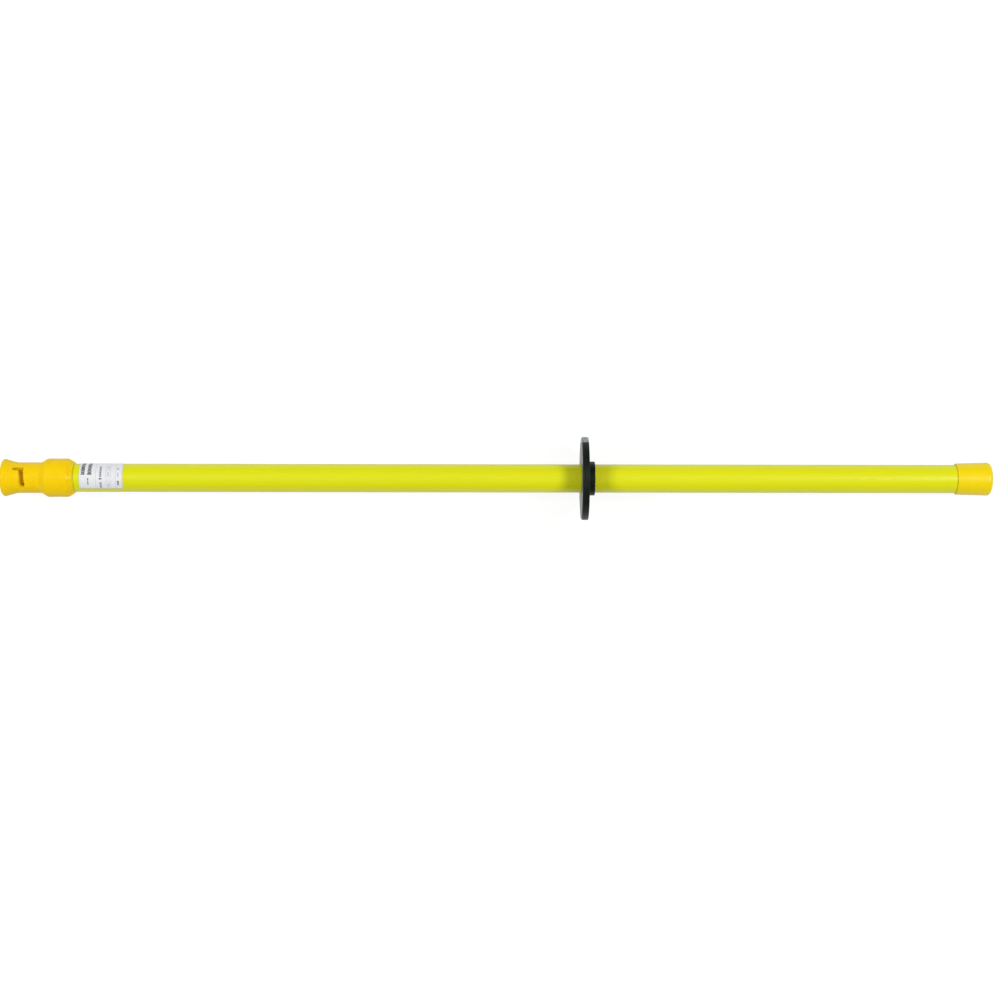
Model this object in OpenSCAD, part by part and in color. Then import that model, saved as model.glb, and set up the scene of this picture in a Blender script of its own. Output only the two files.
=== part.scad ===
// Insulating operating pole with a bayonet tool socket, a hand guard and an end cap.
// Millimetres. The pole's axis is X, through the origin at mid-length.
// The socket mouth is at the -X end and the end cap at the +X end.
// Angles round the pole start at +Y and turn towards +Z.

/* [Pole] */
// Overall length, from the socket mouth to the closed end of the cap
pole_length = 1130; // [700:10:1600]
// Outside diameter of the glass-fibre tube
tube_d = 32.5; // [31:0.5:33]
// Wall thickness of the tube
tube_wall = 3; // [2:0.5:4]
// Length of the cast seal in each end of the tube
seal_length = 4; // [3:0.5:8]

/* [Bayonet head] */
// Length of the moulded head
head_length = 82.3; // [80:0.1:90]
// Diameter at which the flared mouth would meet its front face with no rounding
mouth_d = 44.4; // [42:0.2:45]
// Diameter of the neck
neck_d = 35; // [34:0.5:36]
// Diameter of the collar over the tube
collar_d = 44; // [42:0.2:46]
// Slope of the mouth's flare
flare_angle = 16.2; // [15:0.1:18]
// Slope of the cones on both sides of the collar
collar_angle = 31; // [28:1:35]
// Distance from the mouth to the foot of the collar's front cone
neck_end = 44.2; // [42:0.1:45]

/* [Tool socket] */
// Bore that the tool's shank fits
socket_d = 21.4; // [20:0.1:22]
// Length of that bore, from the mouth
socket_depth = 20.6; // [19:0.1:21]
// Width of the entry grooves and the locking slots
slot_w = 5.2; // [4.6:0.1:5.6]
// Distance across the round floors of the two entry grooves
groove_span = 35.8; // [35:0.1:36.5]
// Distance from the mouth to the middle of a locking slot
slot_x = 24.2; // [24:0.1:25]
// Place of the first entry groove round the head
entry_angle = 56; // [45:1:60]
// Turn that locks a tool
lock_turn = 66; // [60:1:80]
// Lead of the slots, which draws a tool in as it turns
slot_lead_angle = 4.5; // [0:0.5:6]

/* [Plunger and spring] */
// Distance from the mouth to the plunger's nose
plunger_x = 21; // [20.8:0.1:29]
// Travel of the plunger, towards the tube
plunger_travel = 7; // [5:0.5:7]
// Diameter of the spring wire
wire_d = 1.4; // [1:0.1:1.5]
// Mean diameter of the spring
spring_d = 18; // [17.6:0.1:18.6]
// Turns of the spring, with one closed turn at each end
spring_turns = 5.5; // [4:0.5:5.5]

/* [Cross pin] */
// Diameter of the pin through the collar and the tube
cross_pin_d = 5; // [4:0.5:6]
// Distance from the mouth to the pin
cross_pin_x = 66; // [65:0.5:68]
// Depth of the pin's ends below the collar's surface
cross_pin_recess = 0.6; // [0:0.1:1]

/* [Label] */
// Length of the label along the pole
label_length = 49.6; // [40:0.1:60]
// Clear tube between the head and the label
label_gap = 7.4; // [5:0.1:15]
// Thickness of the label
label_t = 0.2; // [0.1:0.05:0.3]
// Part of the tube's circumference that the label leaves bare
label_bare_angle = 60; // [5:1:120]
// Place round the pole of the label's edge at the start of that bare part
label_edge_angle = 139; // [100:1:260]

/* [Hand guard] */
// Diameter of the guard
guard_d = 95.5; // [80:0.5:110]
// Thickness of the disc
guard_t = 8.2; // [5:0.1:9]
// Diameter of the guard's hub
hub_d = 39; // [37:0.5:44]
// Length of the hub, on the handle's side
hub_length = 7.5; // [5:0.5:15]
// Distance from the mouth to the guard's front face
guard_x = 661.6; // [400:0.1:680]

/* [End cap] */
// Length of the cap
cap_length = 40; // [30:0.5:50]
// Diameter of the cap at its open end
cap_open_d = 35.9; // [35.6:0.1:37]
// Diameter of the cap at its closed end
cap_closed_d = 38.1; // [37:0.1:40]
// Thickness of the cap's end wall
cap_end_t = 2; // [1.5:0.5:4]

/* [Hidden] */
$fn = 96;

tube_r = tube_d / 2;
bore_r = tube_r - tube_wall;
past = 1; // how far a cutting shape runs past the face that it leaves

// Stations along the pole, measured from the mouth
chamber_x = 33;
chamber_end = 54;
seat_t = 4;
tube_x = chamber_end + seat_t;
tube_end = pole_length - cap_end_t;

// Clearances
relief_gap = 0.3; // on the radius, behind the part of the bore that guides the shank
nose_gap = 0.5; // on the radius, round the plunger's nose
flange_gap = 0.4; // on the radius, round the plunger's flange
stem_gap = 0.08; // on the radius, round the plunger's stem
spring_gap = 0.7; // on the radius, inside the spring
pocket_gap = 0.3; // on the radius, round the cross pin in its locked place
stop_gap = 0.3; // along the pole, between the plunger's flange and the chamber's shoulder

// Inside the head
socket_lead_in = 1.8;
relief_r = socket_d / 2 + relief_gap;
chamber_r = 12.3;
seat_angle = entry_angle + lock_turn;
seat_pocket_d = slot_w + 2 * pocket_gap;
slot_draw = neck_d / 2 * sin(lock_turn / 2) * tan(slot_lead_angle); // half of a slot's lead

// The plunger
nose_r = relief_r - nose_gap;
flange_r = chamber_r - flange_gap;
flange_x = chamber_x + stop_gap;
flange_t = 3;
locator_r = (spring_d - wire_d) / 2 - spring_gap;
locator_t = 1.7;
stem_d = 8;
stem_end = 50.5;

// The spring seat
guide_d = stem_d + 2 * stem_gap;
guide_r = 5.6;
guide_x = 45.5;
guide_foot_t = 2;

// The spring
wire_steps = 16; // rings of points in each turn
wire_sides = 6;
closed_pitch = 1.04 * wire_d; // rise of a closed turn, which keeps its faces just apart

// Outlines as [radius, distance along the pole], and the rounding radius of each corner
flare_foot = (mouth_d - neck_d) / 2 / tan(flare_angle);
collar_rise = (collar_d - neck_d) / 2 / tan(collar_angle);
rear_cone_length = 7.25;
rear_drop = rear_cone_length * tan(collar_angle);
head_outline = [
    [0, 0],
    [mouth_d / 2, 0],
    [neck_d / 2, flare_foot],
    [neck_d / 2, neck_end],
    [collar_d / 2, neck_end + collar_rise],
    [collar_d / 2, head_length - rear_cone_length],
    [collar_d / 2 - rear_drop, head_length],
    [0, head_length],
];
head_rounds = [0, 2.7, 26, 5, 5, 6, 0.8, 0];

guard_outline = [
    [0, 0],
    [guard_d / 2, 0],
    [guard_d / 2, guard_t],
    [hub_d / 2, guard_t],
    [hub_d / 2, guard_t + hub_length],
    [0, guard_t + hub_length],
];
guard_rounds = [0, 2.3, 0.9, 0.6, 1, 0];

cap_outline = [
    [0, 0],
    [cap_open_d / 2, 0],
    [cap_closed_d / 2, cap_length],
    [0, cap_length],
];
cap_rounds = [0, 1.1, 4.4, 0];

plunger_outline = [
    [0, 0],
    [nose_r, 0],
    [nose_r, flange_x - plunger_x],
    [flange_r, flange_x - plunger_x],
    [flange_r, flange_x - plunger_x + flange_t],
    [0, flange_x - plunger_x + flange_t],
];
plunger_rounds = [0, 1, 0, 0.4, 0.4, 0];

// A point on the line from a to b, at distance d from a
function towards(a, b, d) = a + (b - a) / norm(b - a) * d;

// Half of the angle between the sides of the corner at b
function half_angle(a, b, c) =
    acos(((a - b) * (c - b)) / (norm(a - b) * norm(c - b))) / 2;

// Whether the corner at b turns left, which makes it an outer corner
function turns_left(a, b, c) = cross(b - a, c - b) > 0;

// Moves a child drawn round +Z onto the pole's axis, at distance x from the mouth
module along_pole(x) {
    translate([x - pole_length / 2, 0, 0])
        rotate([90, 0, 90])
            children();
}

// The sliver between a corner's arc and the chord under it
module corner_segment(a, b, c, r) {
    half = half_angle(a, b, c);
    t1 = towards(b, a, r / tan(half));
    t2 = towards(b, c, r / tan(half));
    centre = towards(b, (t1 + t2) / 2, r / sin(half));
    intersection() {
        polygon([t1, b, t2]);
        translate(centre) circle(r);
    }
}

// A closed outline, with its points listed anticlockwise and each corner rounded to its radius
module rounded_outline(points, rounds) {
    n = len(points);
    function before(i) = points[(i + n - 1) % n];
    function after(i) = points[(i + 1) % n];
    function reach(i) = rounds[i] / tan(half_angle(before(i), points[i], after(i)));
    function left(i) = turns_left(before(i), points[i], after(i));
    chords = [
        for (i = [0:n - 1], side = rounds[i] > 0 ? [0, 1] : [0])
            rounds[i] == 0
                ? points[i]
                : towards(points[i], side == 0 ? before(i) : after(i), reach(i))
    ];
    difference() {
        union() {
            polygon(chords);
            for (i = [0:n - 1])
                if (rounds[i] > 0 && left(i))
                    corner_segment(before(i), points[i], after(i), rounds[i]);
        }
        for (i = [0:n - 1])
            if (rounds[i] > 0 && !left(i))
                corner_segment(before(i), points[i], after(i), rounds[i]);
    }
}

// A body of revolution from a rounded outline
module turned(points, rounds) {
    rotate_extrude() rounded_outline(points, rounds);
}

// A bore along the axis, from one station to another
module bore(r, from, to) {
    translate([0, 0, from]) cylinder(r = r, h = to - from);
}

// One axial groove, which lets an end of the tool's cross pin into the head as far as its slot
module entry_groove() {
    length = slot_x - slot_draw + slot_w / 2 + past;
    floor_middle = (groove_span - slot_w) / 2;
    rotate([0, 0, entry_angle])
        translate([0, 0, -past]) {
            translate([0, -slot_w / 2, 0]) cube([floor_middle, slot_w, length]);
            translate([floor_middle, 0, 0]) cylinder(d = slot_w, h = length);
        }
}

// One slot round the neck, from the entry groove to the round pocket where the pin locks
module locking_slot() {
    intersection() {
        rotate([0, 0, entry_angle])
            rotate_extrude(angle = lock_turn)
                translate([nose_r - past, slot_x - slot_w])
                    square([neck_d / 2, 2 * slot_w]);
        rotate([0, 0, (entry_angle + seat_angle) / 2 - 90])
            translate([0, 0, slot_x])
                rotate([0, slot_lead_angle, 0])
                    cube([2 * neck_d, 2 * neck_d, slot_w], center = true);
    }
    rotate([0, 0, seat_angle])
        translate([0, 0, slot_x + slot_draw])
            rotate([0, 90, 0])
                cylinder(d = seat_pocket_d, h = neck_d);
}

module bayonet_head() {
    color("#f3cd0c")
        along_pole(0)
            difference() {
                turned(head_outline, head_rounds);
                bore(socket_d / 2, -past, socket_depth + past);
                translate([0, 0, -past])
                    cylinder(
                        r1 = socket_d / 2 + socket_lead_in + past,
                        r2 = socket_d / 2,
                        h = socket_lead_in + past
                    );
                bore(relief_r, socket_depth, chamber_x + past);
                bore(chamber_r, chamber_x, chamber_end + past);
                bore(tube_r, chamber_end, head_length + past);
                for (side = [0, 180])
                    rotate([0, 0, side]) {
                        entry_groove();
                        locking_slot();
                    }
                cross_hole(collar_d);
            }
}

// The round hole for the cross pin, along Y
module cross_hole(length) {
    translate([0, 0, cross_pin_x])
        rotate([0, 90, 0])
            cylinder(d = cross_pin_d, h = length, center = true);
}

module cross_pin() {
    color("silver")
        along_pole(0)
            cross_hole(collar_d - 2 * cross_pin_recess);
}

// The pusher that holds a tool in the slots. With no tool in, its nose fills the bore inside them.
module tool_plunger() {
    foot = flange_x + flange_t;
    color("#e9bd0a")
        along_pole(0) {
            translate([0, 0, plunger_x]) turned(plunger_outline, plunger_rounds);
            bore(locator_r, foot, foot + locator_t);
            bore(stem_d / 2, foot, stem_end);
        }
}

// The socket's inner end: it closes the chamber, carries the spring and guides the stem
module spring_seat() {
    color("#3a3d40")
        along_pole(0)
            difference() {
                union() {
                    bore(tube_r, chamber_end, tube_x);
                    bore(locator_r, chamber_end - guide_foot_t, chamber_end);
                    bore(guide_r, guide_x, chamber_end);
                }
                bore(guide_d / 2, guide_x - past, tube_x + past);
            }
}

// A compression spring with closed ends, between the plunger's flange and the seat
module plunger_spring() {
    first = flange_x + flange_t + wire_d / 2;
    last = chamber_end - wire_d / 2;
    rings = spring_turns * wire_steps;
    open_turns = spring_turns - 2;
    open_pitch = (last - first - 2 * closed_pitch) / open_turns;
    function height(turn) =
        turn < 1 ? turn * closed_pitch
        : turn > spring_turns - 1 ? last - first - (spring_turns - turn) * closed_pitch
        : closed_pitch + (turn - 1) * open_pitch;
    function wire_point(ring, side) =
        let (turn = ring / wire_steps)
        let (out = spring_d / 2 + wire_d / 2 * cos(360 * side / wire_sides))
        [
            out * cos(360 * turn),
            out * sin(360 * turn),
            first + height(turn) + wire_d / 2 * sin(360 * side / wire_sides),
        ];
    points = [for (ring = [0:rings], side = [0:wire_sides - 1]) wire_point(ring, side)];
    walls = [
        for (ring = [0:rings - 1], side = [0:wire_sides - 1])
            let (next = (side + 1) % wire_sides)
            [
                ring * wire_sides + side,
                (ring + 1) * wire_sides + side,
                (ring + 1) * wire_sides + next,
                ring * wire_sides + next,
            ]
    ];
    first_end = [for (side = [0:wire_sides - 1]) side];
    last_end = [for (side = [0:wire_sides - 1]) rings * wire_sides + wire_sides - 1 - side];
    color("silver")
        along_pole(0)
            polyhedron(points, concat(walls, [first_end, last_end]));
}

module insulating_tube() {
    color("#d6da1e")
        along_pole(0)
            difference() {
                bore(tube_r, tube_x, tube_end);
                bore(bore_r, tube_x - past, tube_end + past);
                cross_hole(collar_d);
            }
}

// Closed-cell foam that fills the tube between its two seals
module foam_core() {
    color("#efe4c2")
        along_pole(0)
            difference() {
                bore(bore_r, tube_x + seal_length, tube_end - seal_length);
                cross_hole(collar_d);
            }
}

// A cast plug that closes an end of the tube
module tube_seal(from) {
    color("#b9812b")
        along_pole(0)
            bore(bore_r, from, from + seal_length);
}

module front_seal() {
    tube_seal(tube_x);
}

module rear_seal() {
    tube_seal(tube_end - seal_length);
}

module rating_label() {
    color("#e9eaee")
        along_pole(head_length + label_gap)
            rotate([0, 0, label_edge_angle + label_bare_angle])
                rotate_extrude(angle = 360 - label_bare_angle)
                    translate([tube_r, 0])
                        square([label_t, label_length]);
}

module hand_guard() {
    color("#21251f")
        along_pole(guard_x)
            difference() {
                turned(guard_outline, guard_rounds);
                bore(tube_r, -past, guard_t + hub_length + past);
            }
}

module end_cap() {
    color("#f4d00e")
        along_pole(pole_length - cap_length)
            difference() {
                turned(cap_outline, cap_rounds);
                bore(tube_r, -past, cap_length - cap_end_t);
            }
}

insulating_tube();
foam_core();
front_seal();
rear_seal();
bayonet_head();
tool_plunger();
plunger_spring();
spring_seat();
cross_pin();
rating_label();
hand_guard();
end_cap();
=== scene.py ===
"""Looks of the insulating operating pole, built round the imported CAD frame.

Shapes are worked out in millimetres from the socket mouth, with X along the pole, and go into
Blender in metres. Angles round the pole start at +Y and turn towards +Z, as in the CAD.
"""

import math

import bmesh
import bpy
import numpy as np
from mathutils import Matrix, Vector

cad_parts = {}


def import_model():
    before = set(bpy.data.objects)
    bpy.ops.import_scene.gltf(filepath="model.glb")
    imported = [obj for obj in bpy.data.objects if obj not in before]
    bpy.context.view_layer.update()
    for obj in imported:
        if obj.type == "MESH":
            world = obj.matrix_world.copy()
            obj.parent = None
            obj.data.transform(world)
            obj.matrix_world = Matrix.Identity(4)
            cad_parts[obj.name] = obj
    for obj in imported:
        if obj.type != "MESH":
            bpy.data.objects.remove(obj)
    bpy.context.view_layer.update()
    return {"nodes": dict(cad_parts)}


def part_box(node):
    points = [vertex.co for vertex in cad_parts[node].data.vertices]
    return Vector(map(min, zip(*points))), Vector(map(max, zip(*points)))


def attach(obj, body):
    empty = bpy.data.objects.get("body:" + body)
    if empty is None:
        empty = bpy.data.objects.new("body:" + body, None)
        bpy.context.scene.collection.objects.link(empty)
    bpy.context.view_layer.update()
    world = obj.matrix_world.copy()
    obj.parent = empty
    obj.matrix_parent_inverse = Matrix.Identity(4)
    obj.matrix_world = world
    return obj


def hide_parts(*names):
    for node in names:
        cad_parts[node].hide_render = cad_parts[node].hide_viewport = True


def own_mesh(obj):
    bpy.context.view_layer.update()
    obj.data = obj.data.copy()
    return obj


MM = 0.001
SEGMENTS = 144  # round a turned piece
ARC_ERROR = 0.004  # mm, of an outline's arcs

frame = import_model()
MOUTH_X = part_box("bayonet_head")[0].x  # metres
nodes = frame["nodes"]


# ---------------------------------------------------------------- sizes, from the frame

def span_mm(node):
    """Where a CAD node starts and ends along the pole, in mm from the mouth."""
    low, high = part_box(node)
    return (low.x - MOUTH_X) / MM, (high.x - MOUTH_X) / MM


def radius_mm(node):
    """Half of a CAD node's width across the pole, in mm."""
    low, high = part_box(node)
    return (high.y - low.y) / 2 / MM


TUBE_R = radius_mm("insulating_tube")


# ---------------------------------------------------------------- outlines and turned solids

def rounded(points, radii):
    """A closed outline with each corner turned into an arc of its radius."""
    corners = np.array(points, float)
    outline = []
    for i, radius in enumerate(radii):
        corner = corners[i]
        if radius == 0:
            outline.append(corner)
            continue
        back = corners[i - 1] - corner
        on = corners[(i + 1) % len(corners)] - corner
        back, on = back / np.linalg.norm(back), on / np.linalg.norm(on)
        half = math.acos(np.clip(back @ on, -1, 1)) / 2
        centre = corner + (back + on) / np.linalg.norm(back + on) * radius / math.sin(half)
        first = corner + back * radius / math.tan(half) - centre
        last = corner + on * radius / math.tan(half) - centre
        turn = math.copysign(math.pi - 2 * half, first[0] * last[1] - first[1] * last[0])
        steps = max(2, math.ceil(abs(turn) / 2 / math.acos(1 - min(ARC_ERROR / radius, 0.1))))
        for step in range(steps + 1):
            c, s = math.cos(turn * step / steps), math.sin(turn * step / steps)
            outline.append(centre + (c * first[0] - s * first[1], s * first[0] + c * first[1]))
    return np.array(outline)


def section_outline(section):
    """The outline of a section, listed as each corner's (x, radius) point and its rounding."""
    return rounded([point for point, _ in section], [rounding for _, rounding in section])


def mesh_object(name, points_mm, faces):
    """An object from points in mm from the mouth, with its faces outward and smooth."""
    mesh = bpy.data.meshes.new(name)
    points = np.asarray(points_mm, float) * MM + (MOUTH_X, 0, 0)
    mesh.from_pydata(points.tolist(), [], [tuple(map(int, face)) for face in faces])
    bm = bmesh.new()
    bm.from_mesh(mesh)
    bmesh.ops.remove_doubles(bm, verts=bm.verts, dist=1e-7)
    bmesh.ops.recalc_face_normals(bm, faces=bm.faces)
    for face in bm.faces:
        face.smooth = True
    bm.to_mesh(mesh)
    bm.free()
    obj = bpy.data.objects.new(name, mesh)
    bpy.context.scene.collection.objects.link(obj)
    return obj


def grid_faces(rows, columns, close_rows=True):
    """Quads over points listed row by row, each row a closed ring."""
    faces = []
    for i in range(rows if close_rows else rows - 1):
        for j in range(columns):
            i2, j2 = (i + 1) % rows, (j + 1) % columns
            faces.append((i * columns + j, i * columns + j2, i2 * columns + j2, i2 * columns + j))
    return faces


def turned(name, outline, segments=SEGMENTS):
    """A solid turned round the pole's axis from a closed outline of (x, radius) points."""
    turns = np.arange(segments) * 2 * math.pi / segments
    x = np.repeat(outline[:, :1], segments, 1)
    y, z = np.outer(outline[:, 1], np.cos(turns)), np.outer(outline[:, 1], np.sin(turns))
    points = np.stack([x, y, z], axis=2).reshape(-1, 3)
    obj = mesh_object(name, points, grid_faces(len(outline), segments))
    obj.modifiers.new("even_shading", "WEIGHTED_NORMAL").keep_sharp = True
    return obj


def finish_piece(obj, body, slot, materials, *replaced):
    """Puts a piece on its body with its materials, in place of its CAD nodes."""
    obj.data.materials.clear()
    for material in materials:
        obj.data.materials.append(material)
    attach(obj, body)
    if replaced:
        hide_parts(*replaced)
    return obj


# ---------------------------------------------------------------- materials

class Surface:
    """Short calls that build one material round a Principled shader."""

    def __init__(
        self, name, roughness=0.5, metallic=0.0, specular=0.5, coat=0.0, coat_roughness=0.1
    ):
        self.material = bpy.data.materials.new(name)
        self.material.use_nodes = True
        self.tree = self.material.node_tree
        self.shader = self.tree.nodes["Principled BSDF"]
        self.set("Roughness", roughness)
        self.set("Metallic", metallic)
        self.set("Specular IOR Level", specular)
        self.set("Coat Weight", coat)
        self.set("Coat Roughness", coat_roughness)

    def set(self, socket, value):
        """Sets an input of the Principled shader."""
        self.put(self.shader, socket, value)

    def put(self, node, socket, value):
        """Links another node's output to an input, or sets the input to a constant."""
        if isinstance(value, bpy.types.NodeSocket):
            self.tree.links.new(value, node.inputs[socket])
        else:
            node.inputs[socket].default_value = value

    def node(self, kind, settings=None, **inputs):
        """A new shader node, with an underscore for each space in its inputs' names."""
        made = self.tree.nodes.new("ShaderNode" + kind)
        for name, value in (settings or {}).items():
            setattr(made, name, value)
        for socket, value in inputs.items():
            self.put(made, socket.replace("_", " "), value)
        return made

    def place(self, stretch=(1, 1, 1)):
        """Coordinates on the object in metres, stretched along each axis."""
        at = self.node("TexCoord").outputs["Object"]
        return self.node("Mapping", Vector=at, Scale=stretch).outputs["Vector"]

    def noise(self, size_mm, detail=2.0, stretch=(1, 1, 1), roughness=0.5):
        """Noise from 0 to 1 with features of a size, longer along an axis whose stretch is small."""
        made = self.node(
            "TexNoise", Vector=self.place(stretch), Scale=1 / (size_mm * MM),
            Detail=detail, Roughness=roughness,
        )
        return made.outputs["Fac"]

    def spread(self, value, low, high, to_low=0.0, to_high=1.0):
        """Eases a value's range from low to high into the range from to_low to to_high."""
        made = self.node(
            "MapRange", {"interpolation_type": "SMOOTHSTEP"}, Value=value,
            From_Min=low, From_Max=high, To_Min=to_low, To_Max=to_high,
        )
        return made.outputs["Result"]

    def calculate(self, operation, *values):
        made = self.node("Math", {"operation": operation})
        for i, value in enumerate(values):
            self.put(made, i, value)
        return made.outputs[0]

    def times(self, a, b):
        return self.calculate("MULTIPLY", a, b)

    def mix(self, share, a, b):
        """Colour a where share is 0, and colour b where it is 1."""
        made = self.node("Mix", {"data_type": "RGBA"})
        self.put(made, 0, share)
        for socket, colour in ((6, a), (7, b)):
            linked = isinstance(colour, bpy.types.NodeSocket)
            self.put(made, socket, colour if linked else (*colour, 1))
        return made.outputs[2]

    def bump(self, height, depth_mm, under=None):
        """A normal bent by a height, on top of another bump where one lies under it."""
        inputs = {"Height": height, "Distance": depth_mm * MM, "Strength": 1.0}
        if under is not None:
            inputs["Normal"] = under
        return self.node("Bump", **inputs).outputs["Normal"]


def shade(colour, factor):
    """A colour made darker or lighter."""
    return tuple(min(c * factor, 1.0) for c in colour)


ALONG = (0.02, 1, 1)  # stretches a pattern fifty times along the pole
REFLECTION_START, REFLECTION_FULL = 40.2, 41.4  # mm from the axis to the guard's painted pale reflection at +Y
RING_WAVES = 9000.0  # radians for each metre of radius, in the plunger's turning marks


def lime_tube():
    """Glass-fibre tube under a gloss lime gelcoat: faint fibre streaks along the pole."""
    s = Surface("lime_tube", specular=0.3, coat=0.08, coat_roughness=0.2)
    lime = (0.685, 0.695, 0.004)
    streak = s.spread(s.noise(0.9, 3, ALONG), 0.35, 0.75)
    cloud = s.spread(s.noise(60, 2, (0.4, 1, 1)), 0.3, 0.7)
    base = s.mix(streak, lime, shade(lime, 0.955))
    s.set("Base Color", s.mix(s.times(cloud, 0.35), base, shade(lime, 1.04)))
    s.set("Roughness", s.spread(s.noise(7, 3, (0.15, 1, 1)), 0.25, 0.8, 0.27, 0.36))
    peel = s.bump(s.noise(2.5, 1), 0.006)
    s.set("Normal", s.bump(s.noise(0.7, 2, ALONG), 0.004, peel))
    return s.material


def moulded_yellow(name, yellow, roughness, grain_mm, grain_depth, specular, coat=0.0):
    """Moulded yellow plastic with a fine grain and soft blotches of its pigment."""
    s = Surface(name, specular=specular, coat=coat, coat_roughness=0.2)
    blotch = s.spread(s.noise(9, 3), 0.35, 0.7)
    fleck = s.spread(s.noise(0.6, 2), 0.62, 0.8)
    base = s.mix(blotch, yellow, (yellow[0] * 0.99, yellow[1] * 0.97, yellow[2] * 0.8))
    base = s.mix(s.times(fleck, 0.25), base, shade(yellow, 0.9))
    s.set("Base Color", base)
    s.set("Roughness", s.spread(s.noise(4, 3), 0.3, 0.75, roughness - 0.04, roughness + 0.06))
    sink = s.bump(s.noise(14, 1), 0.04)
    s.set("Normal", s.bump(s.noise(grain_mm, 2), grain_depth, sink))
    return s


def yellow_head():
    """Satin moulding, with the rims of its slots rubbed by tools' pins."""
    yellow = (0.87, 0.595, 0.002)
    s = moulded_yellow("yellow_head", yellow, 0.5, 0.35, 0.012, 0.05, 0.14)
    s.set("Subsurface Weight", 0.3)
    s.set("Subsurface Radius", (1.0, 0.8, 0.1))
    s.set("Subsurface Scale", 3 * MM)
    rim = s.node("Attribute", {"attribute_name": "rim"}).outputs["Fac"]
    worn = s.times(rim, s.spread(s.noise(1.6, 3), 0.35, 0.65))
    plain = s.shader.inputs["Base Color"].links[0].from_socket
    s.set("Base Color", s.mix(s.times(worn, 0.55), plain, (0.60, 0.36, 0.01)))
    return s.material


def yellow_cap():
    """Glossier moulding with a coarser, shallower grain."""
    return moulded_yellow("yellow_cap", (0.82, 0.63, 0.002), 0.3, 1.2, 0.006, 0.25).material


def black_guard():
    """Black rubber with fine dust in its grain, a painted grey reflection on its front face and a
    painted pale reflection on its rim at +Y.
    """
    s = Surface("black_guard", specular=0.12)
    black = (0.0070, 0.0105, 0.0072)
    bloom = s.spread(s.noise(11, 4), 0.4, 0.75)
    dust = s.spread(s.noise(0.5, 2), 0.66, 0.78)
    base = s.mix(bloom, black, shade(black, 1.5))
    base = s.mix(s.times(dust, 0.35), base, (0.04, 0.045, 0.04))
    parts = s.node("SeparateXYZ", Vector=s.place()).outputs
    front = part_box("hand_guard")[0].x
    # Painted grey reflection on the front face, standing in for grazing light off the rubber
    face = s.spread(parts["X"], front + 0.3 * MM, front + 0.6 * MM, 0.8, 0.0)
    face_reflection_grain = s.spread(s.noise(6, 4), 0.2, 0.6, 0.6, 1.0)
    base = s.mix(s.times(face, face_reflection_grain), base, (0.13, 0.14, 0.13))
    # Painted pale reflection on the rim's top at +Y, standing in for light from that side
    top_reflection = s.spread(parts["Y"], REFLECTION_START * MM, REFLECTION_FULL * MM)
    top_reflection_grain = s.spread(s.noise(1.6, 3), 0.35, 0.6, 0.3, 1.0)
    s.set("Base Color", s.mix(s.times(top_reflection, top_reflection_grain), base, (0.36, 0.39, 0.37)))
    s.set("Roughness", s.spread(s.noise(3, 3), 0.3, 0.7, 0.3, 0.42))
    s.set("Normal", s.bump(s.noise(0.45, 3), 0.012))
    return s.material


def yellow_plunger():
    """Turned from the head's yellow stock, with tool marks in rings round its axis."""
    s = Surface("yellow_plunger", roughness=0.42, specular=0.3)
    parts = s.node("SeparateXYZ", Vector=s.place()).outputs
    flat = s.node("CombineXYZ", X=0.0, Y=parts["Y"], Z=parts["Z"]).outputs["Vector"]
    radius = s.node("VectorMath", {"operation": "LENGTH"}, Vector=flat).outputs["Value"]
    rings = s.calculate("SINE", s.times(radius, RING_WAVES))
    yellow = (0.84, 0.56, 0.004)
    s.set("Base Color", s.mix(s.spread(s.noise(3, 3), 0.3, 0.7), yellow, shade(yellow, 0.88)))
    s.set("Normal", s.bump(rings, 0.008))
    return s.material


def steel(name, colour, roughness, brushing):
    """Bright steel, brushed along an axis whose stretch is small."""
    s = Surface(name, metallic=1.0)
    grain = s.noise(0.15, 3, brushing)
    stain = s.spread(s.noise(2, 3), 0.45, 0.75)
    s.set("Base Color", s.mix(s.times(stain, 0.4), colour, shade(colour, 0.7)))
    s.set("Roughness", s.spread(grain, 0.3, 0.7, roughness - 0.06, roughness + 0.1))
    s.set("Normal", s.bump(grain, 0.004))
    return s.material


def foam():
    """Closed-cell foam: small pale cells with thin darker walls."""
    s = Surface("cream_foam", roughness=0.9, specular=0.2)
    cell = s.node(
        "TexVoronoi", {"feature": "DISTANCE_TO_EDGE"}, Vector=s.place(), Scale=1 / (0.7 * MM)
    ).outputs["Distance"]
    s.set("Base Color", s.mix(s.spread(cell, 0.0, 0.2), (0.62, 0.52, 0.33), (0.86, 0.78, 0.55)))
    s.set("Normal", s.bump(cell, 0.15))
    return s.material


def resin():
    """Cast resin in two swirled browns."""
    s = Surface("seal_resin", specular=0.5)
    swirl = s.spread(s.noise(5, 4), 0.3, 0.7)
    s.set("Base Color", s.mix(swirl, (0.48, 0.22, 0.03), (0.36, 0.15, 0.02)))
    s.set("Roughness", s.spread(s.noise(2, 2), 0.3, 0.7, 0.2, 0.35))
    s.set("Normal", s.bump(s.noise(3, 2), 0.03))
    return s.material


def dark_seat():
    """Dark moulding with a fine grain."""
    s = Surface("dark_seat", specular=0.4)
    dark = (0.04, 0.045, 0.05)
    s.set("Base Color", s.mix(s.spread(s.noise(4, 3), 0.3, 0.7), dark, shade(dark, 1.4)))
    s.set("Roughness", s.spread(s.noise(1, 3), 0.3, 0.7, 0.45, 0.6))
    s.set("Normal", s.bump(s.noise(0.4, 2), 0.01))
    return s.material


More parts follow.
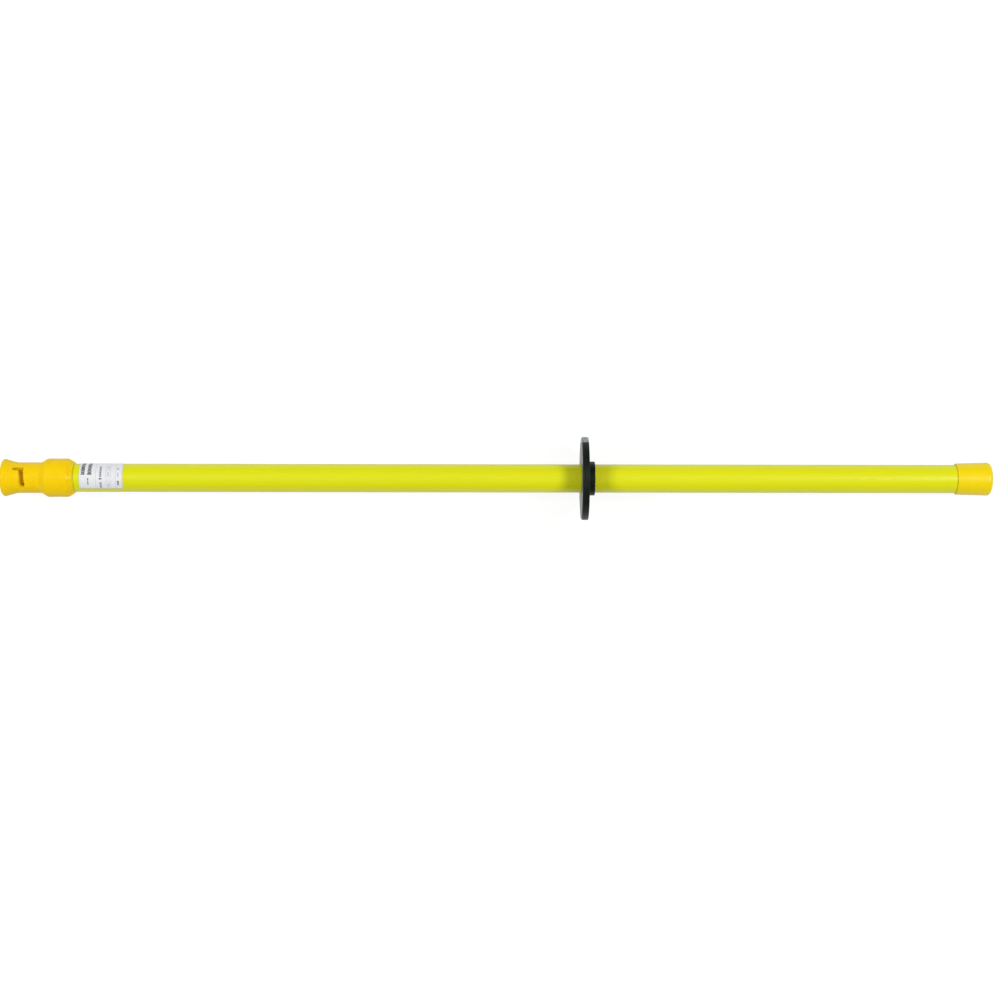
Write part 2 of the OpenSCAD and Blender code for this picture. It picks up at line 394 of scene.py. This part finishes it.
def print_stock(name, colour, roughness):
    """Label vinyl or the ink on it, with a faint mottle."""
    s = Surface(name, specular=0.4)
    mottle = s.spread(s.noise(1.3, 3), 0.3, 0.75)
    s.set("Base Color", s.mix(mottle, colour, shade(colour, 0.93)))
    s.set("Roughness", s.spread(s.noise(5, 2), 0.3, 0.7, roughness - 0.04, roughness + 0.05))
    s.set("Normal", s.bump(s.noise(2.2, 2), 0.01))
    return s.material


# ---------------------------------------------------------------- the head

# In mm; the length and the collar come from the head's box, and the rest lies inside it
SOCKET_R = 10.7
LEAD_IN = 1.8
RELIEF_R, CHAMBER_R = 11.0, 12.3
SOCKET_DEPTH, CHAMBER_X, SLEEVE_X = 20.6, 33.0, 54.0
HEAD_LENGTH = span_mm("bayonet_head")[1]
MOUTH_R, NECK_R, COLLAR_R = 22.2, 17.5, radius_mm("bayonet_head")
FLARE_SLOPE, CONE_SLOPE = math.tan(math.radians(16.2)), math.tan(math.radians(31))
NECK_END, REAR_CONE = 44.2, 7.25
SLOT_W = 5.2
SLOT_X = 24.2
ENTRY_ANGLE, LOCK_TURN, LEAD_ANGLE = map(math.radians, (56, 66, 4.5))
GROOVE_R = 17.9  # of the grooves' round floors, from the axis
POCKET_R = 2.9  # of the round end where a tool's pin locks
SEAT_ANGLE = ENTRY_ANGLE + LOCK_TURN
PIN_X, PIN_R = 66.0, 2.5
RIM_R = 0.4  # rounding of the slots' rims
SKIN_VOXEL = 0.75  # of the head's first skin
SHARP = math.radians(18)  # where its faces meet at more than this, the skin is refined
LONGEST_MOVE = 1.2  # of a point that settles on the head's surface
LEAST_SLOPE = 0.5  # of the distance, for that point's steps; a true distance has a slope of 1
WEAR_REACH, WEAR_DEPTH = 0.5, 0.8  # of the worn rims, along the surface and below it

# The head's section, as (distance from the mouth, radius), and the rounding of each corner
HEAD_SECTION = [
    ((0, SOCKET_R + LEAD_IN), 0.8),
    ((0, MOUTH_R), 2.7),
    (((MOUTH_R - NECK_R) / FLARE_SLOPE, NECK_R), 26),
    ((NECK_END, NECK_R), 5),
    ((NECK_END + (COLLAR_R - NECK_R) / CONE_SLOPE, COLLAR_R), 5),
    ((HEAD_LENGTH - REAR_CONE, COLLAR_R), 6),
    ((HEAD_LENGTH, COLLAR_R - REAR_CONE * CONE_SLOPE), 0.8),
    ((HEAD_LENGTH, TUBE_R), 0.25),
    ((SLEEVE_X, TUBE_R), 0),
    ((SLEEVE_X, CHAMBER_R), 0.3),
    ((CHAMBER_X, CHAMBER_R), 0.3),
    ((CHAMBER_X, RELIEF_R), 0.3),
    ((SOCKET_DEPTH, RELIEF_R), 0),
    ((SOCKET_DEPTH, SOCKET_R), 0),
    ((LEAD_IN, SOCKET_R), 1.2),
]
TABLE_STEP = 0.1  # mm
TABLE_LOW, TABLE_HIGH = np.array([-3.0, 8.0]), np.array([86.0, 25.0])


def outline_distance(points, outline):
    """Distance from each (x, radius) point to a closed outline, negative inside it."""
    nearest = np.full(len(points), np.inf)
    inside = np.zeros(len(points), bool)
    for a, b in zip(outline, np.roll(outline, -1, 0)):
        side, reach = b - a, points - a
        share = np.clip(reach @ side / max(side @ side, 1e-12), 0, 1)
        nearest = np.minimum(nearest, np.linalg.norm(reach - share[:, None] * side, axis=1))
        crosses = (a[1] > points[:, 1]) != (b[1] > points[:, 1])
        rise = side[1] if side[1] else 1e-12
        inside ^= crosses & (points[:, 0] < a[0] + (points[:, 1] - a[1]) * side[0] / rise)
    return np.where(inside, -nearest, nearest)


def section_table():
    """The distances to the head's section on a fine grid, which makes looking them up quick."""
    outline = section_outline(HEAD_SECTION)
    x, r = (
        np.arange(low, high, TABLE_STEP) for low, high in zip(TABLE_LOW, TABLE_HIGH)
    )
    points = np.stack(np.meshgrid(x, r, indexing="ij"), axis=2)
    return outline_distance(points.reshape(-1, 2), outline).reshape(len(x), len(r))


def look_up(table, x, r):
    """The table's distance at each place, interpolated between its grid points."""
    places = (np.stack([x, r], 1) - TABLE_LOW) / TABLE_STEP
    places = np.clip(places, 0, np.array(table.shape) - 1.001)
    i, j = places.astype(int).T
    u, v = (places - places.astype(int)).T
    return (
        table[i, j] * (1 - u) * (1 - v) + table[i + 1, j] * u * (1 - v)
        + table[i, j + 1] * (1 - u) * v + table[i + 1, j + 1] * u * v
    )


def join_round(a, b, radius):
    """Distance to the union of two shapes, with the crease between them rounded."""
    corner = np.hypot(np.maximum(radius - a, 0), np.maximum(radius - b, 0))
    return np.maximum(radius, np.minimum(a, b)) - corner


def cut_distance(points):
    """Distance to what is cut from the head: the grooves, the slots and the pin's hole."""
    x, y, z = points.T
    cut = np.hypot(x - PIN_X, z) - PIN_R
    middle = ENTRY_ANGLE + LOCK_TURN / 2
    draw = NECK_R * math.sin(LOCK_TURN / 2) * math.tan(LEAD_ANGLE)
    groove_end = SLOT_X - draw + SLOT_W / 2
    for side in (1, -1):
        ys, zs = side * y, side * z

        def out(angle):
            return ys * math.cos(angle) + zs * math.sin(angle)

        def across(angle):
            return zs * math.cos(angle) - ys * math.sin(angle)

        above = np.maximum(out(ENTRY_ANGLE) - (GROOVE_R - SLOT_W / 2), 0)
        groove = np.hypot(across(ENTRY_ANGLE), above) - SLOT_W / 2
        groove = np.maximum.reduce([groove, x - groove_end, -out(ENTRY_ANGLE)])
        slab = (x - SLOT_X) * math.cos(LEAD_ANGLE) - across(middle) * math.sin(LEAD_ANGLE)
        slot = np.maximum.reduce([
            np.abs(slab) - SLOT_W / 2, -across(ENTRY_ANGLE), across(SEAT_ANGLE), -out(middle),
        ])
        pocket = np.hypot(x - SLOT_X - draw, across(SEAT_ANGLE)) - POCKET_R
        pocket = np.maximum(pocket, -out(SEAT_ANGLE))
        cut = np.minimum(cut, join_round(np.minimum(slot, pocket), groove, RIM_R))
    return cut


def head_distance(table, points):
    """Distance to the head's surface, with rounded rims where the cuts leave it."""
    body = look_up(table, points[:, 0], np.hypot(points[:, 1], points[:, 2]))
    left = -cut_distance(points)
    corner = np.hypot(np.maximum(RIM_R + body, 0), np.maximum(RIM_R + left, 0))
    return np.minimum(-RIM_R, np.maximum(body, left)) + corner


def settle(table, points, rounds=5):
    """Moves points near the head's surface onto it, along the slope of the distance."""
    reach = 0.02
    start = points.copy()
    for _ in range(rounds):
        slope = np.stack([
            head_distance(table, points + step) - head_distance(table, points - step)
            for step in np.eye(3) * reach
        ], axis=1) / (2 * reach)
        size = np.maximum((slope ** 2).sum(1), LEAST_SLOPE ** 2)
        points = points - slope * (head_distance(table, points) / size)[:, None]
    moved = points - start
    far = np.maximum(np.linalg.norm(moved, axis=1) / LONGEST_MOVE, 1)
    return start + moved / far[:, None]


def head_points(vertices):
    """The places of vertices, in mm from the mouth."""
    return (np.array([v.co for v in vertices]) - (MOUTH_X, 0, 0)) / MM


def head_skin():
    """A copy of the CAD head as one skin of even faces."""
    obj = nodes["bayonet_head"].copy()
    obj.data = obj.data.copy()
    obj.name = obj.data.name = "head_moulding"
    obj.parent = None
    for key in list(obj.keys()):
        del obj[key]
    bpy.context.scene.collection.objects.link(obj)
    remesh = obj.modifiers.new("skin", "REMESH")
    remesh.mode = "VOXEL"
    remesh.voxel_size = SKIN_VOXEL * MM
    evaluated = obj.evaluated_get(bpy.context.evaluated_depsgraph_get())
    mesh = bpy.data.meshes.new_from_object(evaluated)
    obj.modifiers.clear()
    obj.data = mesh
    return obj


def settle_all(table, bm):
    """Settles every vertex on the head's surface."""
    points = settle(table, head_points(bm.verts))
    for vert, point in zip(bm.verts, points * MM + (MOUTH_X, 0, 0)):
        vert.co = point


def refine(bm):
    """Splits the faces next to each sharp edge."""
    bm.edges.index_update()
    sharp = [e for e in bm.edges if e.is_manifold and e.calc_face_angle() > SHARP]
    near = {e for edge in sharp for face in edge.link_faces for e in face.edges}
    edges = sorted(near, key=lambda edge: edge.index)
    bmesh.ops.subdivide_edges(bm, edges=edges, cuts=1, use_grid_fill=True)


def bayonet_head():
    """The head as one even skin, refined at its edges and settled on the section and its cuts."""
    obj = head_skin()
    mesh = obj.data
    table = section_table()
    bm = bmesh.new()
    bm.from_mesh(mesh)
    settle_all(table, bm)
    for _ in range(2):
        refine(bm)
        settle_all(table, bm)
    bmesh.ops.recalc_face_normals(bm, faces=bm.faces)
    for face in bm.faces:
        face.smooth = True
    bm.to_mesh(mesh)
    bm.free()

    points = head_points(mesh.vertices)
    rim = np.exp(-np.abs(cut_distance(points)) / WEAR_REACH)
    rim *= look_up(table, points[:, 0], np.hypot(points[:, 1], points[:, 2])) > -WEAR_DEPTH
    mesh.attributes.new("rim", "FLOAT", "POINT").data.foreach_set("value", rim.astype(np.float32))
    return finish_piece(obj, "pole", "yellow_head", [yellow_head()], "bayonet_head")


# ---------------------------------------------------------------- turned pieces

GAP = 0.02  # mm between a sleeve and the tube that it covers
FLANGE_X, FLANGE_T = 33.3, 3.0  # the plunger's flange, which the spring pushes
SPRING_X = FLANGE_X + FLANGE_T


def tube():
    """The tube, with its ends' edges broken."""
    start, end = span_mm("insulating_tube")
    inner = radius_mm("foam_core")
    corners = [(start, inner), (start, TUBE_R), (end, TUBE_R), (end, inner)]
    outline = rounded(corners, [0.2] * len(corners))
    return finish_piece(
        turned("tube_skin", outline), "pole", "lime_tube", [lime_tube()], "insulating_tube"
    )


def hand_guard():
    """The guard's disc and hub, with the fine line that its two-part mould left round the rim."""
    start, end = span_mm("hand_guard")
    rim, hub, disc_t = radius_mm("hand_guard"), 19.5, 8.2
    line_x, line_w, line_h = start + 4.9, 0.5, 0.12
    bore = TUBE_R + GAP
    face = start + disc_t
    section = [
        ((start, bore + 0.5), 0.2),
        ((start, rim - line_h), 2.3),
        ((line_x - line_w / 2, rim - line_h), 0.1),
        ((line_x, rim), 0.12),
        ((line_x + line_w / 2, rim - line_h), 0.1),
        ((face, rim - line_h), 0.9),
        ((face, hub), 0.6),
        ((end, hub), 1.0),
        ((end, bore + 0.5), 0.2),
        ((end - 0.5, bore), 0),
        ((start + 0.5, bore), 0),
    ]
    outline = section_outline(section)
    return finish_piece(
        turned("guard_rubber", outline, 192), "pole", "black_guard", [black_guard()], "hand_guard"
    )


def end_cap():
    """The cap, with a small gate mark at the middle of its closed end."""
    start, end = span_mm("end_cap")
    open_r, closed_r = 17.95, 19.05
    bore, wall_x = TUBE_R + GAP, end - 2
    section = [
        ((start, bore + 0.5), 0.15),
        ((start, open_r), 0.9),
        ((end, closed_r), 4.4),
        ((end, 2.2), 0.15),
        ((end - 0.35, 1.9), 0.1),
        ((end - 0.35, 0.7), 0.1),
        ((end - 0.1, 0.5), 0.1),
        ((end - 0.1, 0), 0),
        ((wall_x, 0), 0),
        ((wall_x, bore), 0),
        ((start + 0.6, bore), 0),
    ]
    outline = section_outline(section)
    return finish_piece(
        turned("cap_moulding", outline), "pole", "yellow_cap", [yellow_cap()], "end_cap"
    )


def plunger():
    """The plunger: a dished nose, a flange that the spring pushes, and a stem."""
    start, end = span_mm("tool_plunger")
    flange_r, nose_r, locator_r, stem_r = radius_mm("tool_plunger"), 10.5, 7.6, 4.0
    locator_end = SPRING_X + 1.7
    section = [
        ((start + 0.8, 0), 0),
        ((start + 0.8, 5.0), 0.6),
        ((start, 6.2), 0.5),
        ((start, nose_r), 1.0),
        ((FLANGE_X, nose_r), 0.2),
        ((FLANGE_X, flange_r), 0.4),
        ((SPRING_X, flange_r), 0.4),
        ((SPRING_X, locator_r), 0.2),
        ((locator_end, locator_r), 0.3),
        ((locator_end, stem_r), 0.3),
        ((end, stem_r), 0.5),
        ((end, 0), 0),
    ]
    outline = section_outline(section)
    piece = turned("plunger_turning", outline, 96)
    return finish_piece(piece, "plunger", "yellow_plunger", [yellow_plunger()], "tool_plunger")


def cross_pin():
    """The steel pin through the collar, chamfered at both ends."""
    low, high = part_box("cross_pin")
    half, r, chamfer = (high.y - low.y) / 2 / MM, PIN_R - 0.01, 0.5
    section = [
        ((-half, 0), 0),
        ((-half, r - chamfer), 0.15),
        ((chamfer - half, r), 0.2),
        ((half - chamfer, r), 0.2),
        ((half, r - chamfer), 0.15),
        ((half, 0), 0),
    ]
    outline = section_outline(section)
    pin = turned("pin_dowel", outline, 64)
    to_origin = Matrix.Translation((-MOUTH_X, 0, 0))
    to_place = Matrix.Translation((MOUTH_X + PIN_X * MM, 0, 0))
    pin.data.transform(to_place @ Matrix.Rotation(math.pi / 2, 4, "Z") @ to_origin)
    material = steel("pin_steel", (0.50, 0.50, 0.52), 0.3, (1, 0.05, 1))
    return finish_piece(pin, "pole", "pin_steel", [material], "cross_pin")


def spring():
    """The compression spring, wound with a closed turn at each end."""
    wire_r, coil_r, turns = 0.7, 9.0, 5.5
    steps, sides = 40, 14
    first, last = SPRING_X + wire_r, SLEEVE_X - wire_r
    closed = 1.04 * 2 * wire_r
    pitch = (last - first - 2 * closed) / (turns - 2)
    points = []
    count = int(turns * steps) + 1
    for ring in range(count):
        turn = ring / steps
        if turn < 1:
            x = first + turn * closed
        elif turn > turns - 1:
            x = last - (turns - turn) * closed
        else:
            x = first + closed + (turn - 1) * pitch
        for side in range(sides):
            angle = 2 * math.pi * side / sides
            out = coil_r + wire_r * math.cos(angle)
            at = 2 * math.pi * turn
            points.append((x + wire_r * math.sin(angle), out * math.cos(at), out * math.sin(at)))
    faces = grid_faces(count, sides, close_rows=False)
    faces += [tuple(range(sides)), tuple(range((count - 1) * sides, count * sides))]
    obj = mesh_object("spring_coil", points, faces)
    material = steel("spring_steel", (0.55, 0.56, 0.58), 0.25, (1, 1, 1))
    finish_piece(obj, "pole", "spring_steel", [material], "plunger_spring")
    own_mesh(obj)
    return obj


# ---------------------------------------------------------------- the label

BARS = ((0, 1), (0.12, 0.88))  # shares of a line's height, taken in turn
LABEL_EDGE, LABEL_BARE = 139, 60  # degrees: where the label ends, and the bare part after it
STEP_ALONG, STEP_ROUND = 6, 1.2  # mm, the longest sides of the label's faces
NARROWEST = 0.02  # mm, between two cuts of the label


def printed_marks():
    """Marks that stand for print and spell nothing, each (first x, last x, first y, last y, ink).

    In mm, x runs from the label's front edge, and y round the tube from +Z towards +Y.
    """
    marks = []

    def line(x, height, start, lengths, gap, ink, shares=((0, 1),)):
        """A line of print that runs round the tube, as bars of these lengths."""
        y = start
        for i, length in enumerate(lengths):
            low, high = shares[i % len(shares)]
            marks.append((x + low * height, x + high * height, y, y + length, ink))
            y += length + gap

    title = (0.8, 1.7, 0.6, 1.3, 1.1, 2.0, 0.7, 1.4, 0.9, 1.8, 0.8, 1.2, 1.5)
    line(1.9, 5.0, 3.2, title, 0.45, "black", BARS)
    line(9.4, 5.0, 3.4, title[::-1], 0.45, "black", BARS)
    line(9.6, 1.3, -8.6, (2.9, 1.5, 2.6), 0.5, "dark_grey")
    for x in (18.9, 41.6):
        line(x, 0.25, -19.5, (39.0,), 0, "grey")
    line(23.4, 2.5, -12.6, title[:5], 0.4, "dark_grey", BARS)
    line(22.8, 3.0, -2.2, (1.5,), 0, "black")
    line(23.2, 2.6, 0.6, title[2:11], 0.4, "dark_grey", BARS)
    for y in (-12.4, 0.6, 9.8):
        for x, height, first, length in (
            (30.6, 5.8, y, 0.3), (30.6, 5.8, y + 7.9, 0.3), (30.6, 0.3, y, 8.2), (36.1, 0.3, y, 8.2),
        ):
            line(x, height, first, (length,), 0, "grey")
        line(32.6, 1.8, y + 1.5, title[6:9], 0.5, "grey")
    line(43.4, 2.2, -9.2, title[3:6], 0.5, "dark_grey")
    line(43.6, 1.7, 0.8, title[4:7], 0.5, "grey")
    line(43.0, 2.6, 9.6, title[7:9], 0.5, "grey")
    return marks


def cuts(low, high, edges, step):
    """Places from low to high, no further apart than a step, with the marks' edges among them."""
    count = math.ceil((high - low) / step)
    places = [low + (high - low) * i / count for i in range(count + 1)]
    places += [edge for edge in edges if low < edge < high]
    places = sorted(places)
    return [p for i, p in enumerate(places) if i == 0 or p - places[i - 1] > NARROWEST]


def border(rows, columns):
    """The points round the edge of a grid, in order."""
    points = list(range(columns))
    points += [i * columns + columns - 1 for i in range(1, rows)]
    points += [(rows - 1) * columns + j for j in range(columns - 2, -1, -1)]
    points += [i * columns for i in range(rows - 2, 0, -1)]
    return points


def label():
    """The wrap label: one thin sheet, cut along the edges of its printed marks."""
    start, end = span_mm("rating_label")
    outer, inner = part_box("rating_label")[1].z / MM, TUBE_R + GAP
    low_y = -math.radians(LABEL_EDGE - 90) * outer
    high_y = low_y + math.radians(360 - LABEL_BARE) * outer
    marks = printed_marks()
    xs = cuts(0, end - start, [e for m in marks for e in m[:2]], STEP_ALONG)
    ys = cuts(low_y, high_y, [e for m in marks for e in m[2:4]], STEP_ROUND)
    points = []
    for radius in (outer, inner):
        for x in xs:
            for y in ys:
                angle = math.pi / 2 - y / outer
                points.append((start + x, radius * math.cos(angle), radius * math.sin(angle)))

    stocks = {
        "paper": print_stock("label_paper", (0.76, 0.77, 0.79), 0.36),
        "black": print_stock("ink_black", (0.035, 0.035, 0.045), 0.4),
        "dark_grey": print_stock("ink_dark_grey", (0.16, 0.16, 0.18), 0.4),
        "grey": print_stock("ink_grey", (0.42, 0.43, 0.46), 0.4),
    }
    inks = list(stocks)
    columns, rows = len(ys), len(xs)
    back = rows * columns
    faces, slots = [], []
    for i in range(rows - 1):
        for j in range(columns - 1):
            x, y = (xs[i] + xs[i + 1]) / 2, (ys[j] + ys[j + 1]) / 2
            ink = next((m[4] for m in marks if m[0] < x < m[1] and m[2] < y < m[3]), "paper")
            a = i * columns + j
            faces.append((a, a + 1, a + columns + 1, a + columns))
            faces.append(tuple(back + n for n in (a, a + columns, a + columns + 1, a + 1)))
            slots += [inks.index(ink), inks.index("paper")]
    edge = border(rows, columns)
    for a, b in zip(edge, edge[1:] + edge[:1]):
        faces.append((a, b, back + b, back + a))
        slots.append(inks.index("paper"))
    obj = mesh_object("label_wrap", points, faces)
    finish_piece(obj, "pole", "white_label", list(stocks.values()), "rating_label")
    obj.data.polygons.foreach_set("material_index", slots)
    return obj


# ---------------------------------------------------------------- floor, lights and camera

def floor():
    """A plain white light table, just under the guard's lowest point."""
    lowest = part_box("hand_guard")[0].z
    size, drop = 4.0, 0.0006
    mesh = bpy.data.meshes.new("floor")
    corners = [(-size, -size), (size, -size), (size, size), (-size, size)]
    mesh.from_pydata([(x, y, lowest - drop) for x, y in corners], [], [(0, 1, 2, 3)])
    obj = bpy.data.objects.new("floor", mesh)
    bpy.context.scene.collection.objects.link(obj)
    s = Surface("floor_white", roughness=0.9, specular=0.1)
    tone = s.spread(s.noise(400, 2), 0.3, 0.7)
    s.set("Base Color", s.mix(tone, (0.12, 0.12, 0.12), (0.14, 0.14, 0.14)))
    s.set("Emission Color", (1, 1, 1, 1))
    s.set("Emission Strength", 0.9)
    obj.data.materials.append(s.material)


def softbox(name, place, size, strength):
    """A soft light that points at the middle of the pole, with a strength that is its radiance."""
    light = bpy.data.lights.new(name, "AREA")
    light.shape = "RECTANGLE"
    light.size, light.size_y = size
    light.energy = strength * math.pi * size[0] * size[1]
    obj = bpy.data.objects.new(name, light)
    bpy.context.scene.collection.objects.link(obj)
    obj.location = place
    obj.rotation_euler = (-Vector(place)).to_track_quat("-Z", "Y").to_euler()
    obj.visible_camera = False


BRIGHTEST = (0.18, 0.12, 1.0)  # direction of the world's brightest part


def world():
    """Soft white light from all round, brighter overhead and towards +X and +Y."""
    scene_world = bpy.data.worlds.new("studio")
    bpy.context.scene.world = scene_world
    scene_world.use_nodes = True
    tree = scene_world.node_tree
    new, link = tree.nodes.new, tree.links.new
    background = tree.nodes["Background"]
    dot = new("ShaderNodeVectorMath")
    dot.operation = "DOT_PRODUCT"
    dot.inputs[1].default_value = Vector(BRIGHTEST).normalized()
    link(new("ShaderNodeTexCoord").outputs["Generated"], dot.inputs[0])
    spread = new("ShaderNodeMapRange")
    spread.interpolation_type = "SMOOTHSTEP"
    ease = {"From Min": 0.72, "From Max": 0.97, "To Min": 0.18, "To Max": 0.48}
    for socket, value in ease.items():
        spread.inputs[socket].default_value = value
    link(dot.outputs["Value"], spread.inputs["Value"])
    link(spread.outputs["Result"], background.inputs["Strength"])
    background.inputs["Color"].default_value = (1, 1, 1, 1)


def camera():
    """Looks straight down on the pole, as the photograph does."""
    data = bpy.data.cameras.new("camera")
    data.lens = 68.5
    data.sensor_width = 36
    obj = bpy.data.objects.new("camera", data)
    bpy.context.scene.collection.objects.link(obj)
    obj.location = (0.0039, -0.0248, 2.18)
    obj.rotation_euler = (0, 0, math.radians(0.09))
    bpy.context.scene.camera = obj


# ---------------------------------------------------------------- the scene

tube()
bayonet_head()
label()
hand_guard()
end_cap()
plunger()
spring()
cross_pin()

for node, material in (
    ("foam_core", foam()),
    ("front_seal", resin()),
    ("rear_seal", resin()),
    ("spring_seat", dark_seat()),
):
    mesh = nodes[node].data
    mesh.materials.clear()
    mesh.materials.append(material)

floor()
softbox("right_softbox", (2.1, 0.26, 3.0), (1.09, 1.0), 23.6)
softbox("left_softbox", (-2.45, 0.26, 3.0), (0.77, 1.0), 31.4)
world()
camera()
bpy.context.scene.view_settings.view_transform = "Standard"
